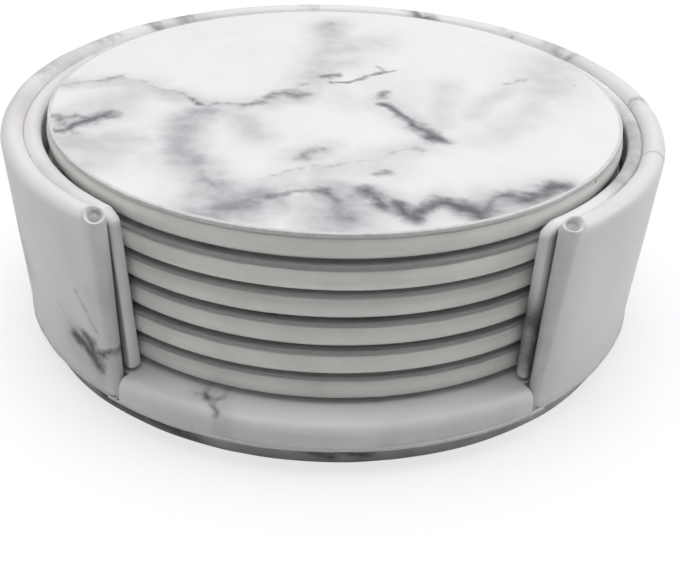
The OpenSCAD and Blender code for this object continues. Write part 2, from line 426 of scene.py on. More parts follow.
class Nodes:
    """Short way to build a material's node tree."""

    def __init__(self, name):
        self.material = bpy.data.materials.new(name)
        self.material.use_nodes = True
        self.tree = self.material.node_tree
        self.shader = self.tree.nodes["Principled BSDF"]

    def add(self, kind, **settings):
        node = self.tree.nodes.new(kind)
        for key, value in settings.items():
            if key in node.inputs:
                node.inputs[key].default_value = value
            else:
                setattr(node, key, value)
        return node

    def link(self, source, target):
        self.tree.links.new(source, target)

    def place(self):
        """The piece's own coordinates."""
        return self.add("ShaderNodeTexCoord").outputs["Object"]

    def noise(self, size, detail=4.0, roughness=0.55):
        """Noise whose lumps measure about size metres."""
        node = self.add("ShaderNodeTexNoise", Scale=1 / size, Detail=detail, Roughness=roughness)
        self.link(self.place(), node.inputs["Vector"])
        return node.outputs["Fac"]

    def math(self, operation, a, b, clamp=False):
        node = self.add("ShaderNodeMath", operation=operation, use_clamp=clamp)
        for socket, value in zip(node.inputs, (a, b)):
            if isinstance(value, (int, float)):
                socket.default_value = value
            else:
                self.link(value, socket)
        return node.outputs[0]

    def ramp(self, value, low, high, to_low=0.0, to_high=1.0):
        """A soft rise from to_low to to_high while value goes from low to high."""
        node = self.add("ShaderNodeMapRange", interpolation_type="SMOOTHSTEP")
        node.inputs["From Min"].default_value = low
        node.inputs["From Max"].default_value = high
        node.inputs["To Min"].default_value = to_low
        node.inputs["To Max"].default_value = to_high
        self.link(value, node.inputs["Value"])
        return node.outputs["Result"]

    def mix(self, factor, a, b):
        node = self.add("ShaderNodeMix", data_type="RGBA")
        self.link(factor, node.inputs[0])
        for socket, value in ((node.inputs[6], a), (node.inputs[7], b)):
            if isinstance(value, tuple):
                socket.default_value = (*value, 1)
            else:
                self.link(value, socket)
        return node.outputs[2]

    def mark(self, name):
        """The mesh's point values of that name, or 0 where it has none."""
        return self.add("ShaderNodeAttribute", attribute_name=name).outputs["Fac"]

    def bump(self, height, strength, distance, under=None):
        node = self.add("ShaderNodeBump", Strength=strength, Distance=distance)
        self.link(height, node.inputs["Height"])
        if under is not None:
            self.link(under, node.inputs["Normal"])
        return node.outputs["Normal"]


# Colours, and the depths of the leather's and the board's surface
# The first colour is the near-black of painted shade, mixed in by the shade marks
PAINTED_SHADE = (0.035, 0.034, 0.033)
SPECK = (0.30, 0.29, 0.28)
BOARD_DARK = (0.44, 0.40, 0.34)
BOARD_PALE = (0.56, 0.52, 0.45)
TINT_SHARES = (0.985, 0.965, 0.97)
JOINT_SHARE = 0.55
FIBRE_SHARE = 0.9
GRAIN_SIZE = 0.35 * MM
GRAIN_DEPTH = 0.05 * MM
LUMP_DEPTH = 0.4 * MM
FIBRE_DEPTH = 0.1 * MM
SPECK_GAP = 9 * MM
LEATHER_IOR = 1.45


def darker(colour, share):
    return tuple(c * share for c in colour)


def leather_surface(n, grain, lumps):
    """Fine pressed grain over a faint unevenness, and a roughness that varies a little."""
    cells = n.add("ShaderNodeTexVoronoi", Scale=1 / GRAIN_SIZE)
    n.link(n.place(), cells.inputs["Vector"])
    fine = n.bump(cells.outputs["Distance"], grain, GRAIN_DEPTH)
    n.link(n.bump(n.noise(6 * MM, detail=2.0), lumps, LUMP_DEPTH, under=fine), n.shader.inputs["Normal"])
    n.link(n.ramp(n.noise(4 * MM), 0.3, 0.7, to_low=0.40, to_high=0.52), n.shader.inputs["Roughness"])
    n.shader.inputs["IOR"].default_value = LEATHER_IOR


def marble_leather(name, base, cloud, vein):
    """White leather printed with grey clouds and darker ragged veins, and painted shade where its shade mark
    is set.
    """
    n = Nodes(name)
    ragged = n.noise(1.6 * MM, detail=5.0, roughness=0.6)
    broad = n.noise(5 * MM, detail=5.0, roughness=0.6)
    tint = n.noise(18 * MM, detail=2.0)
    tinted = tuple(c * share for c, share in zip(base, TINT_SHARES))
    ground = n.mix(n.ramp(tint, 0.35, 0.7), base, tinted)
    patchy = n.ramp(broad, 0.25, 0.75, to_low=0.42, to_high=0.92)
    with_cloud = n.mix(n.math("MULTIPLY", n.mark("cloud"), patchy, clamp=True), ground, cloud)
    noisy = n.math("ADD", n.mark("vein"), n.math("MULTIPLY", n.math("SUBTRACT", ragged, 0.5), 0.7))
    near_vein = n.ramp(n.mark("vein"), 0.0, 0.25)
    printed = n.mix(n.math("MULTIPLY", n.ramp(noisy, 0.12, 0.95), near_vein, clamp=True), with_cloud, vein)
    worn = n.mix(n.mark("joint"), printed, darker(base, JOINT_SHARE))
    # Painted shade: the shade mark darkens the colour towards a near-black
    n.link(n.mix(n.mark("shade"), worn, PAINTED_SHADE), n.shader.inputs["Base Color"])
    leather_surface(n, grain=0.06, lumps=0.12)
    return n.material


def plain_leather(name, base, shade):
    """Light grey leather with faint mottling and scattered specks."""
    n = Nodes(name)
    mottled = n.mix(n.ramp(n.noise(7 * MM, detail=3.0), 0.3, 0.75), base, shade)
    specks = n.add("ShaderNodeTexVoronoi", Scale=1 / SPECK_GAP)
    n.link(n.place(), specks.inputs["Vector"])
    dots = n.ramp(specks.outputs["Distance"], 0.02, 0.035, to_low=1.0, to_high=0.0)
    n.link(n.mix(dots, mottled, SPECK), n.shader.inputs["Base Color"])
    leather_surface(n, grain=0.10, lumps=0.2)
    return n.material


def cut_edge(name, base):
    """The pale fibrous backing that shows where the leather is cut, and painted shade where its shade mark
    is set.
    """
    n = Nodes(name)
    fibres = n.mix(n.ramp(n.noise(0.8 * MM), 0.35, 0.7), base, darker(base, FIBRE_SHARE))
    # Painted shade: the shade mark darkens the colour towards a near-black
    n.link(n.mix(n.mark("shade"), fibres, PAINTED_SHADE), n.shader.inputs["Base Color"])
    n.shader.inputs["Roughness"].default_value = 0.8
    n.link(n.bump(n.noise(0.3 * MM, detail=3.0), 0.3, FIBRE_DEPTH), n.shader.inputs["Normal"])
    return n.material


def greyboard(name):
    """Pressed grey-brown board with flecks of fibre."""
    n = Nodes(name)
    flecks = n.ramp(n.noise(0.7 * MM, detail=6.0, roughness=0.7), 0.45, 0.7)
    n.link(n.mix(flecks, BOARD_DARK, BOARD_PALE), n.shader.inputs["Base Color"])
    n.shader.inputs["Roughness"].default_value = 0.9
    n.link(n.bump(n.noise(0.5 * MM), 0.3, FIBRE_DEPTH), n.shader.inputs["Normal"])
    return n.material


PRINT_LEATHER = marble_leather(
    "marble_print", base=(0.84, 0.83, 0.84), cloud=(0.25, 0.245, 0.275), vein=(0.13, 0.127, 0.14))
WALL_LEATHER = marble_leather(
    "marble_leather", base=(0.78, 0.77, 0.78), cloud=(0.25, 0.245, 0.265), vein=(0.09, 0.088, 0.095))
PLAIN_LEATHER = plain_leather("plain_leather", base=(0.78, 0.78, 0.75), shade=(0.71, 0.71, 0.68))
CUT_EDGE = cut_edge("cut_edge", base=(0.66, 0.66, 0.65))
GREYBOARD = greyboard("greyboard")


# Strips: the wall and its inner liner, bent round with rounded upright ends

CAP_STEPS = 14
LEAST_STEP = 0.02 * MM


def tangent_normal(l, ra, rb):
    """Across and along parts of the normal of the line that touches both round ends."""
    along = (ra - rb) / l
    return math.sqrt(1 - along * along), along


def half_section(l, ra, rb, step, round_steps, lower_round):
    """Points (along, away) from the foot to the crown on one side of a strip's middle line."""
    across, along = tangent_normal(l, ra, rb)
    start = (ra * along, ra * across)
    end = (l + rb * along, rb * across)
    first = math.acos(along)
    points = []
    if lower_round:
        for k in range(1, round_steps):
            angle = math.pi - (math.pi - first) * k / round_steps
            points.append((ra * math.cos(angle), ra * math.sin(angle)))
    else:
        points.append((0.0, ra))
    count = max(2, int(math.ceil((end[0] - start[0]) / step)))
    for k in range(count + 1):
        share = k / count
        p = (start[0] + (end[0] - start[0]) * share, start[1] + (end[1] - start[1]) * share)
        if lower_round or p[0] > LEAST_STEP:
            points.append(p)
    for k in range(1, round_steps):
        angle = first * (1 - k / round_steps)
        points.append((l + rb * math.cos(angle), rb * math.sin(angle)))
    return points


def strip_grid(low, head, angles, step, round_steps, lower_round):
    """Points of a bent strip between two round ends, each a radius, a height and a thickness' half.

    Rows run up the outside and down the inside, and columns run round, with a rounded cap at each end.
    """
    (a_r, a_z, ra), (b_r, b_z, rb) = low, head
    l = math.hypot(b_r - a_r, b_z - a_z)
    u = ((b_r - a_r) / l, (b_z - a_z) / l)
    side = half_section(l, ra, rb, step, round_steps, lower_round)
    section = [(t, d) for t, d in side] + [(l + rb, 0.0)] + [(t, -d) for t, d in reversed(side)]
    if lower_round:
        section.append((-ra, 0.0))
    columns = [(angles[0], math.pi / 2 * k / CAP_STEPS, -1) for k in range(CAP_STEPS, 0, -1)]
    columns += [(theta, 0.0, 0) for theta in angles]
    columns += [(angles[-1], math.pi / 2 * k / CAP_STEPS, 1) for k in range(1, CAP_STEPS + 1)]
    points = np.zeros((len(section), len(columns), 3))
    for i, (t, d) in enumerate(section):
        for j, (theta, phi, way) in enumerate(columns):
            away = d * math.cos(phi)
            ahead = abs(d) * math.sin(phi) * way
            r = a_r + t * u[0] + away * u[1]
            z = a_z + t * u[1] - away * u[0]
            c, s = math.cos(theta), math.sin(theta)
            points[i, j] = (r * c - ahead * s, r * s + ahead * c, z)
    return points.reshape(-1, 3), grid_faces(*points.shape[:2])


def radii_near(node, z, reach):
    """Least and greatest distance from the axis of a CAD node's points near height z."""
    points = [v.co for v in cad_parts[node].data.vertices]
    found = [math.hypot(p.x, p.y) for p in points if abs(p.z - z) < reach]
    return min(found), max(found)


# The strips' thickness, and the front opening between the middles of the wall's ends
RIM_THICK = 3.7 * MM
LINER_THICK = 2.4 * MM
LINER_OVERLAP = 0.05 * MM
FOOT_REACH = 0.05 * MM
HALF_OPEN = math.radians(37.4)
LINER_REACH = math.radians(0.4)
FRONT = -math.pi / 2

# Round ends of the strips' sections: radius, height and half the thickness there
wall_foot_in, wall_foot_out = radii_near("wall_cover", WALL_FOOT_Z, FOOT_REACH)
WALL_FOOT = ((wall_foot_in + wall_foot_out) / 2, WALL_FOOT_Z, (wall_foot_out - wall_foot_in) / 2)
WALL_HEAD = (RIM_R - RIM_THICK / 2, RIM_TOP - RIM_THICK / 2, RIM_THICK / 2)
LEAN = (RIM_R - RIM_THICK - wall_foot_in) / (RIM_TOP - WALL_FOOT_Z)
LINER_HALF = LINER_THICK / 2
LINER_HEAD = (RIM_R - RIM_THICK - LINER_HALF + LINER_OVERLAP, LINER_TOP - LINER_HALF, LINER_HALF)
liner_low_z = LINER_FOOT + LINER_HALF
LINER_LOW = (LINER_HEAD[0] - LEAN * (LINER_HEAD[1] - liner_low_z), liner_low_z, LINER_HALF)
LINER_OPEN = HALF_OPEN - LINER_REACH

# Steps round the strips, in degrees: between points, between points near the ends, and how far that goes
WALL_STEPS = (0.6, 0.16, 4)
RAW_STEPS = (0.6, 0.3, 4)
WALL_CORE_STEPS = (2, 1, 4)
LINER_STEPS = (0.7, 0.3, 3)
LINER_CORE_STEPS = (2, 1, 3)

# The leather's thickness, and how much sooner the boards inside it end
LEATHER = 0.6 * MM
CORE_BACK = 1.0 * MM

# The leather's cut edge at the foot of the wall and of the lip
RAW_OUT = 0.22 * MM
RAW_IN = 0.1 * MM
RAW_HIGH = 0.45 * MM
RAW_WAVE = 0.1 * MM
RAW_RISE_SHARE = 0.35

# The open folds at the rim's front corners, left and right
FOLD_R = 1.2 * MM
FOLD_DEPTH = 0.45 * MM
FOLD_TILT = {-1: math.radians(62), 1: math.radians(78)}
FOLD_BACK = {-1: 0.85 * MM, 1: 1.55 * MM}
FOLD_OUT_SHARE = 0.25
FOLD_FLAT_SHARE = 0.72
FOLD_SHADE_SHARES = (0.95, 0.6)
FOLD_LIP = 0.8 * MM
FOLD_LIP_HALF = 0.42 * MM
FOLD_LIP_RISE = 1.2 * MM
FOLD_LIP_SHARE = 1.36

# How far the wall's ends lean back at their tops
WALL_BACK = {-1: 0.8 * MM, 1: 1.4 * MM}
WALL_BACK_SPAN = math.radians(9)

# How far the liner's ends stand forward at their feet and heads, and how far their tops slope down
END_FOOT = {-1: 0.7 * MM, 1: 0.3 * MM}
END_HEAD = {-1: -1.2 * MM, 1: -0.5 * MM}
END_SPAN = math.radians(4)
END_DROP = 1.1 * MM
END_DROP_FROM = 2.6 * MM
END_DROP_TO = -1.0 * MM
LINER_SWELL = 0.5 * MM

# Hand-made unevenness: the size and the depth of its lumps
WALL_WOBBLE = (14 * MM, 0.10 * MM)
LINER_WOBBLE = (9 * MM, 0.06 * MM)
WOBBLE_HEIGHT_SHARE = 0.6
DIP_SIZE = 22 * MM
DIP_DEPTH = 0.28 * MM
DIP_SPAN = 6 * MM

# The pattern on the walls: how much it is shaken, and where the back's own way of that sets in
WALL_WARP = WARP_AMOUNT * 0.8
WALL_WARP_SEED = 3.1
BACK_DEGREES = (130, 165)
BACK_SHARE = 0.35
SIDE_DEGREES = (75, 180)
SIDE_STEP_DEGREES = 4
SIDE_SLOPE_FROM_TO = (0.05, 0.3)
SIDE_SLOPE_SHARE = 0.35
SIDE_RAGGED_SHARE = 0.05

# Painted shade in the crease between the strips' front ends, and inside the rim's open folds
CREASE_SPAN = (math.radians(6), math.radians(2))
CREASE_END = (math.radians(2.3), math.radians(1.2))
CREASE_SIDE = (0.85 * MM, 1.1 * MM)
CREASE_DROP = 0.6 * MM
CREASE_SHADE = 0.9
LINER_CREASE_LEFT = 0.75
LINER_CREASE_RIGHT = 0.3
POCKET_SHADE = 0.5

# The upright joint of the wall's leather
JOINT_HALF = 0.2 * MM
JOINT_DARK = 0.8


def strip_angles(half, steps):
    """Angles round a strip from the opening's right side to its left, close together at both ends."""
    coarse, fine, fine_span = (math.radians(step) for step in steps)
    start, stop = FRONT + half, FRONT + 2 * math.pi - half
    angles = spaced(start, start + fine_span, fine)[:-1]
    angles += spaced(start + fine_span, stop - fine_span, coarse)[:-1]
    return angles + spaced(stop - fine_span, stop, fine)


def thinned(end):
    """A round end of a strip's section, as the board inside the leather has it."""
    return end[0], end[1], end[2] - LEATHER


def height_share(flat, low, high):
    return np.clip((flat[:, 2] - low) / (high - low), 0, 1)


def bent(angle, r, z):
    """Points from their angle to the front, their distance from the axis and their height."""
    return np.stack([r * np.sin(angle), -r * np.cos(angle), z], -1)


def push_fold(flat, side):
    """Dents the rim's corner into an open fold with a raised lip; also gives how much painted shade goes
    inside it.
    """
    theta = FRONT + side * HALF_OPEN
    c, s = math.cos(theta), math.sin(theta)
    ahead = np.array((s, -c, 0.0)) * side
    centre = np.array((WALL_HEAD[0] * c, WALL_HEAD[0] * s, WALL_HEAD[1])) - FOLD_BACK[side] * ahead
    axis = ahead * math.cos(FOLD_TILT[side]) + np.array((0, 0, 1.0)) * math.sin(FOLD_TILT[side])
    axis = axis + FOLD_OUT_SHARE * np.array((c, s, 0.0))
    axis /= np.linalg.norm(axis)
    along = (flat - centre) @ axis
    wide = np.linalg.norm(flat - centre - along[:, None] * axis, axis=1)
    dent = smoothstep(FOLD_R, FOLD_R * FOLD_FLAT_SHARE, wide) * FOLD_DEPTH
    ring = np.exp(-(((wide - FOLD_R * FOLD_LIP_SHARE) / FOLD_LIP_HALF) ** 2))
    lip = ring * FOLD_LIP * smoothstep(0, FOLD_LIP_RISE, along)
    shift = np.where(along > 0, lip - dent, 0)
    dark = smoothstep(FOLD_R * FOLD_SHADE_SHARES[0], FOLD_R * FOLD_SHADE_SHARES[1], wide)
    return flat + shift[:, None] * axis, np.where(along > 0, dark, 0)


def wobble(flat, size, amount, seed):
    """Hand-made unevenness: points move in and out from the axis by smooth noise."""
    out = flat.copy()
    for k, (x, y, z) in enumerate(flat):
        r = math.hypot(x, y)
        push = amount * fractal(x + seed, y, z * WOBBLE_HEIGHT_SHARE, size, 2)
        out[k, 0] += x / r * push
        out[k, 1] += y / r * push
    return out


def closed_round(strokes, turn):
    """The strokes, with copies of those at the back one turn on, so that none breaks off there."""
    out = list(strokes)
    for path, half_width, dark in strokes:
        far = max((x for x, _ in path), key=abs)
        if abs(far) > BACK_SHARE * turn:
            out.append(([(x - math.copysign(turn, far), y) for x, y in path], half_width, dark))
    return out


def wall_marks(flat, head_r, veins, clouds):
    """The pattern's marks on a wall, from strokes in degrees from the front and height shares."""
    angle = front_angle(flat)
    unshaken = np.stack([angle * head_r, flat[:, 2]], -1)
    plane = warped(unshaken, WARP_SIZE, WALL_WARP, WALL_WARP_SEED)
    back = smoothstep(*BACK_DEGREES, np.abs(np.degrees(angle)))
    for k in np.nonzero(back)[0]:
        x, y, z = flat[k][0], flat[k][1], flat[k][2] + WALL_WARP_SEED
        across = fractal(x, y, z, WARP_SIZE)
        up = fractal(x + WARP_APART[0], y + WARP_APART[1], z + WARP_APART[2], WARP_SIZE)
        closed = unshaken[k] + WALL_WARP * np.array((across, up))
        plane[k] = plane[k] * (1 - back[k]) + closed * back[k]

    def unrolled(strokes):
        out = []
        for path, half_width, dark in strokes:
            spots = [(math.radians(a) * head_r, WALL_FOOT_Z + h * (RIM_TOP - WALL_FOOT_Z)) for a, h in path]
            out.append((spots, half_width * MM, dark))
        return closed_round(out, 2 * math.pi * head_r)

    return pattern(plane, unrolled(veins), unrolled(clouds))


def random_wall_strokes(rng, count, half_width, dark):
    """Veins for the sides that the photograph doesn't show, in degrees and height shares."""
    strokes = []
    for _ in range(count):
        a, h = rng.choice((-1, 1)) * rng.uniform(*SIDE_DEGREES), rng.uniform(0, 1)
        slope = rng.choice((-1, 1)) * rng.uniform(*SIDE_SLOPE_FROM_TO) * SIDE_SLOPE_SHARE
        path = []
        for k in range(rng.randint(4, 8)):
            path.append((a + k * SIDE_STEP_DEGREES, h + k * slope + rng.gauss(0, SIDE_RAGGED_SHARE)))
        strokes.append((path, half_width * rng.uniform(0.6, 1.4), dark * rng.uniform(0.4, 1)))
    return strokes


# Marks on the wall's front parts and on its rim: photograph pixels, half width in millimetres, darkness
WALL_VEINS_PX = [
    ([(77, 292), (86, 310), (98, 333)], 1.1, 0.5),
    ([(58, 298), (66, 316), (73, 330)], 0.9, 0.35),
    ([(77, 338), (84, 343), (90, 350), (98, 362)], 2.8, 1.0),
    ([(84, 334), (92, 345), (94, 352)], 2.2, 0.9),
    ([(95, 353), (104, 355), (121, 355)], 1.3, 0.75),
]
WALL_CLOUDS_AND_SHADE_PX = [
    ([(77, 338), (98, 364)], 4.2, 0.5),
    ([(92, 300), (104, 345)], 3.4, 0.3),
    # Painted shade: a soft upright dark band down the left wall near its front end, drawn as a cloud
    ([(112, 235), (110, 300), (116, 360)], 5.0, 0.42),
    ([(68, 240), (80, 270)], 4.0, 0.15),
    # Painted shade: a soft upright dark band down the right wall near its front end, drawn as a cloud
    ([(552, 250), (546, 320), (540, 375)], 5.0, 0.42),
    ([(575, 245), (570, 290)], 4.0, 0.16),
    ([(610, 210), (622, 260)], 5.0, 0.1),
]
RIM_MARKS_PX = [
    ([(184, 21), (196, 19)], 2.0, 0.5),
    ([(300, 8), (317, 7)], 1.6, 0.4),
    ([(96, 42), (114, 33)], 2.4, 0.4),
    ([(54, 76), (66, 64)], 3.0, 0.35),
    ([(490, 31), (512, 37)], 2.2, 0.25),
]
JOINT_PX = (652, 150)

# The liner's marks: degrees from the front and height share, half width in millimetres, darkness
LINER_VEINS = [
    ([(36, 0.50), (38, 0.30)], 3.0, 0.9),
    ([(36, 0.38), (37, 0.20)], 2.4, 0.8),
    ([(-120, 0.9), (-116, 1.0)], 1.6, 0.4),
]
LINER_CLOUDS = [
    ([(36, 0.52), (37, 0.22)], 4.0, 0.8),
    # Partly printed cloud, partly painted shade: this and the next stroke darken the top of the liner's
    # inner face at the back right
    ([(60, 0.95), (72, 0.9), (84, 0.9)], 5.0, 0.85),
    ([(84, 0.8), (94, 0.9)], 4.0, 0.6),
    ([(-40, 0.9), (-60, 0.95)], 3.0, 0.2),
]


def crease_shade(flat, foot, head, side):
    """How far each point near a strip's front ends lies on its face towards the other strip, 0 to 1: where
    the crease between the strips gets painted shade.
    """
    middle = foot[0] + (head[0] - foot[0]) * height_share(flat, foot[1], head[1])
    angle = np.abs(front_angle(flat))
    covered = smoothstep(HALF_OPEN + CREASE_SPAN[0], HALF_OPEN + CREASE_SPAN[1], angle)
    if side > 0:
        covered = covered * smoothstep(HALF_OPEN - CREASE_END[0], HALF_OPEN - CREASE_END[1], angle)
    facing = smoothstep(*CREASE_SIDE, side * (axis_distance(flat) - middle))
    return facing * (flat[:, 2] < LINER_TOP - CREASE_DROP) * covered


def lean_wall(flat):
    """The wall's front ends lean back towards their tops."""
    angle, r = front_angle(flat), axis_distance(flat)
    near = smoothstep(HALF_OPEN + WALL_BACK_SPAN, HALF_OPEN, np.abs(angle))
    back = np.where(angle < 0, WALL_BACK[-1], WALL_BACK[1]) * height_share(flat, WALL_FOOT_Z, WALL_HEAD[1])
    return bent(angle + np.sign(angle) * back * near / r, r, flat[:, 2])


def make_wall():
    """The leather over the wall and its rim."""
    angles = strip_angles(HALF_OPEN, WALL_STEPS)
    flat, faces = strip_grid(WALL_FOOT, WALL_HEAD, angles, step=0.45 * MM, round_steps=26, lower_round=False)
    flat = wobble(flat, *WALL_WOBBLE, 0.0)
    angle = np.arctan2(flat[:, 1], flat[:, 0])
    lift = np.array([DIP_DEPTH * ring_noise(a, 0.4, DIP_SIZE, 2) for a in angle])
    flat[:, 2] += np.minimum(lift, 0) * smoothstep(WALL_HEAD[1] - DIP_SPAN, WALL_HEAD[1], flat[:, 2])
    flat, left_pocket = push_fold(lean_wall(flat), -1)
    flat, right_pocket = push_fold(flat, 1)
    rng = random.Random(SEED)
    veins = [([on_wall(px) for px in path], w, d) for path, w, d in WALL_VEINS_PX]
    veins += [([on_rim(px) for px in path], w, d) for path, w, d in RIM_MARKS_PX]
    veins += random_wall_strokes(rng, 16, 2.0, 0.8)
    clouds = [([on_wall(px) for px in path], w, d) for path, w, d in WALL_CLOUDS_AND_SHADE_PX]
    clouds += random_wall_strokes(rng, 14, 4.5, 0.5)
    marks = wall_marks(flat, RIM_R, veins, clouds)
    joint_angle = math.radians(on_rim(JOINT_PX)[0]) + FRONT
    marks["joint"] = JOINT_DARK * np.exp(-(((angle - joint_angle) * RIM_R / JOINT_HALF) ** 2))
    # Painted shade inside the open folds, and in the crease where the wall meets the liner
    pocket = POCKET_SHADE * np.maximum(left_pocket, right_pocket)
    marks["shade"] = np.maximum(pocket, CREASE_SHADE * crease_shade(flat, WALL_FOOT, WALL_HEAD, -1))
    piece = make_piece("wall_leather", flat, faces, marks, [WALL_LEATHER])
    dress(piece, "holder", "wall_cover")


def make_wall_core():
    """The board inside the wall."""
    angles = strip_angles(HALF_OPEN + CORE_BACK / WALL_HEAD[0], WALL_CORE_STEPS)
    flat, faces = strip_grid(
        thinned(WALL_FOOT), thinned(WALL_HEAD), angles, step=1.0 * MM, round_steps=8, lower_round=False)
    piece = make_piece("wall_core", lean_wall(flat), faces, {}, [GREYBOARD])
    dress(piece, "holder", "wall_board")


def make_raw_edge():
    """The leather's pale cut edge, a thin band round the foot of the wall and its two ends."""
    angles = strip_angles(HALF_OPEN, RAW_STEPS)
    inner, outer = wall_foot_out - RAW_IN, wall_foot_out + RAW_OUT
    profile = [(inner, 0), (outer, 0), (outer, 1), (inner, 1.15)]
    points = []
    for r, high in profile:
        for theta in angles:
            rise = RAW_HIGH * (1 + RAW_RISE_SHARE * ring_noise(theta, 0.2, 6 * MM))
            reach = r + (RAW_WAVE * ring_noise(theta, 0.7, 5 * MM) if high in (0, 1) else 0)
            points.append((reach * math.cos(theta), reach * math.sin(theta), WALL_FOOT_Z + high * rise))
    faces = [*grid_faces(len(profile), len(angles)), *end_faces(len(profile), len(angles))]
    piece = make_piece("wall_cut_edge", points, faces, {}, [CUT_EDGE])
    dress(piece, "holder", "wall_cover")


def swell_left(flat):
    """The liner is thicker on its left side, towards the coasters."""
    r = axis_distance(flat)
    inner_share = np.clip((LINER_HEAD[0] + LINER_HALF - r) / LINER_THICK, 0, 1)
    scale = 1 - inner_share * smoothstep(0.1, 0.95, -flat[:, 0] / r) * LINER_SWELL / r
    return flat * np.stack([scale, scale, np.ones(len(flat))], -1)


def lean_ends(flat):
    """The liner's front ends stand forward at their feet and back at their heads, with sloping tops."""
    angle, r = front_angle(flat), axis_distance(flat)
    share = height_share(flat, LINER_FOOT, LINER_TOP)
    lean = {side: END_FOOT[side] * (1 - share) + END_HEAD[side] * share for side in (-1, 1)}
    near = smoothstep(LINER_OPEN + END_SPAN, LINER_OPEN, np.abs(angle))
    ahead = np.where(angle < 0, lean[-1], lean[1]) * near
    drop_from, drop_to = (LINER_OPEN + reach / LINER_HEAD[0] for reach in (END_DROP_FROM, END_DROP_TO))
    drop = END_DROP * smoothstep(drop_from, drop_to, np.abs(angle)) ** 2 * smoothstep(0.6, 1, share)
    return bent(angle - np.sign(angle) * ahead / r, r, flat[:, 2] - drop)


def make_liner():
    """The leather over the inner strip."""
    angles = strip_angles(LINER_OPEN, LINER_STEPS)
    flat, faces = strip_grid(LINER_LOW, LINER_HEAD, angles, step=0.5 * MM, round_steps=10, lower_round=True)
    flat = lean_ends(swell_left(wobble(flat, *LINER_WOBBLE, 1.7)))
    rng = random.Random(SEED + 1)
    veins = LINER_VEINS + random_wall_strokes(rng, 8, 1.2, 0.6)
    marks = wall_marks(flat, LINER_HEAD[0], veins, LINER_CLOUDS + random_wall_strokes(rng, 6, 4.0, 0.4))
    # Painted shade in the crease where the liner meets the wall, weaker on the right
    dark = np.where(flat[:, 0] < 0, LINER_CREASE_LEFT, LINER_CREASE_RIGHT)
    marks["shade"] = dark * crease_shade(flat, LINER_LOW, LINER_HEAD, 1)
    piece = make_piece("liner_leather", flat, faces, marks, [WALL_LEATHER])
    dress(piece, "holder", "liner_cover")


def make_liner_core():
    """The board inside the inner strip."""
    angles = strip_angles(LINER_OPEN + CORE_BACK / LINER_HEAD[0], LINER_CORE_STEPS)
    flat, faces = strip_grid(
        thinned(LINER_LOW), thinned(LINER_HEAD), angles, step=0.5 * MM, round_steps=6, lower_round=True)
    piece = make_piece("liner_core", lean_ends(swell_left(flat)), faces, {}, [GREYBOARD])
    dress(piece, "holder", "liner_board")


# Floor: a disc inside the wall, with a rounded lip that fills the opening

LIP_R = 55.2 * MM
LIP_ROUND = 1.9 * MM
LIP_HALF = math.radians(35.6)
LIP_RINGS = 12
LIP_STEP = 0.5 * MM
LIP_SIDE_STEP = 0.4 * MM
LIP_FLAT_END = 1.2 * MM
LIP_SAG = 0.10 * MM
TAB_HALF = math.radians(38.2)
TAB_WAVE = 0.25
LIP_EDGE_OUT = 0.22 * MM
LIP_EDGE_IN = 0.12 * MM
NOTCH_DEPTH = 0.12 * MM
NOTCH_PLACE = math.radians(-7)
NOTCH_HALF = math.radians(1.2)
FLOOR_R = wall_foot_in - 0.1 * MM
CLEAR = 0.02 * MM
SEAM = 1e-4

# Marks on the lip: shares of its radius to the right and to the back, half width in millimetres, darkness
FLOOR_VEINS = [
    ([(-0.33, -0.86), (-0.31, -0.90), (-0.295, -0.94)], 1.2, 0.75),
    ([(-0.27, -0.86), (-0.30, -0.89)], 1.2, 0.6),
    ([(-0.36, -0.86), (-0.30, -0.885)], 0.8, 0.5),
]
FLOOR_CLOUDS = [
    ([(-0.34, -0.86), (-0.29, -0.9), (-0.27, -0.98)], 2.2, 0.4),
    ([(-0.45, -0.9), (-0.2, -0.98), (0.0, -1.02)], 4.0, 0.2),
    ([(0.2, -0.98), (0.36, -0.93), (0.5, -0.86)], 4.0, 0.26),
    ([(0.1, -0.95), (0.4, -0.88)], 5.0, 0.15),
]


def rounded_edge(radius, inward, rise, steps):
    """Radius and height up a disc's soft lower edge."""
    turns = [math.pi / 2 * k / steps for k in range(1, steps + 1)]
    return [(radius - inward * (1 - math.sin(a)), rise * (1 - math.cos(a))) for a in turns]


def lip_profile():
    """Radius and height from the floor's middle, over the rounded lip and down to its cut edge."""
    last_ring = LIP_R * (LIP_RINGS - 1) / LIP_RINGS
    points = [(LIP_R * k / LIP_RINGS, FLOOR_TOP) for k in range(LIP_RINGS)]
    bend_r, bend_z = LIP_R - LIP_ROUND, FLOOR_TOP - LIP_ROUND
    points += [(r, FLOOR_TOP) for r in spaced(last_ring + LIP_STEP, bend_r - LIP_FLAT_END, LIP_STEP)]
    for k in range(11):
        a = math.pi / 2 * (1 - k / 10)
        points.append((bend_r + LIP_ROUND * math.cos(a), bend_z + LIP_ROUND * math.sin(a)))
    side = spaced(bend_z - LIP_SIDE_STEP, FOOT_TOP + RAW_HIGH, LIP_SIDE_STEP)
    return points + [(LIP_R + 0.05 * MM, z) for z in side]


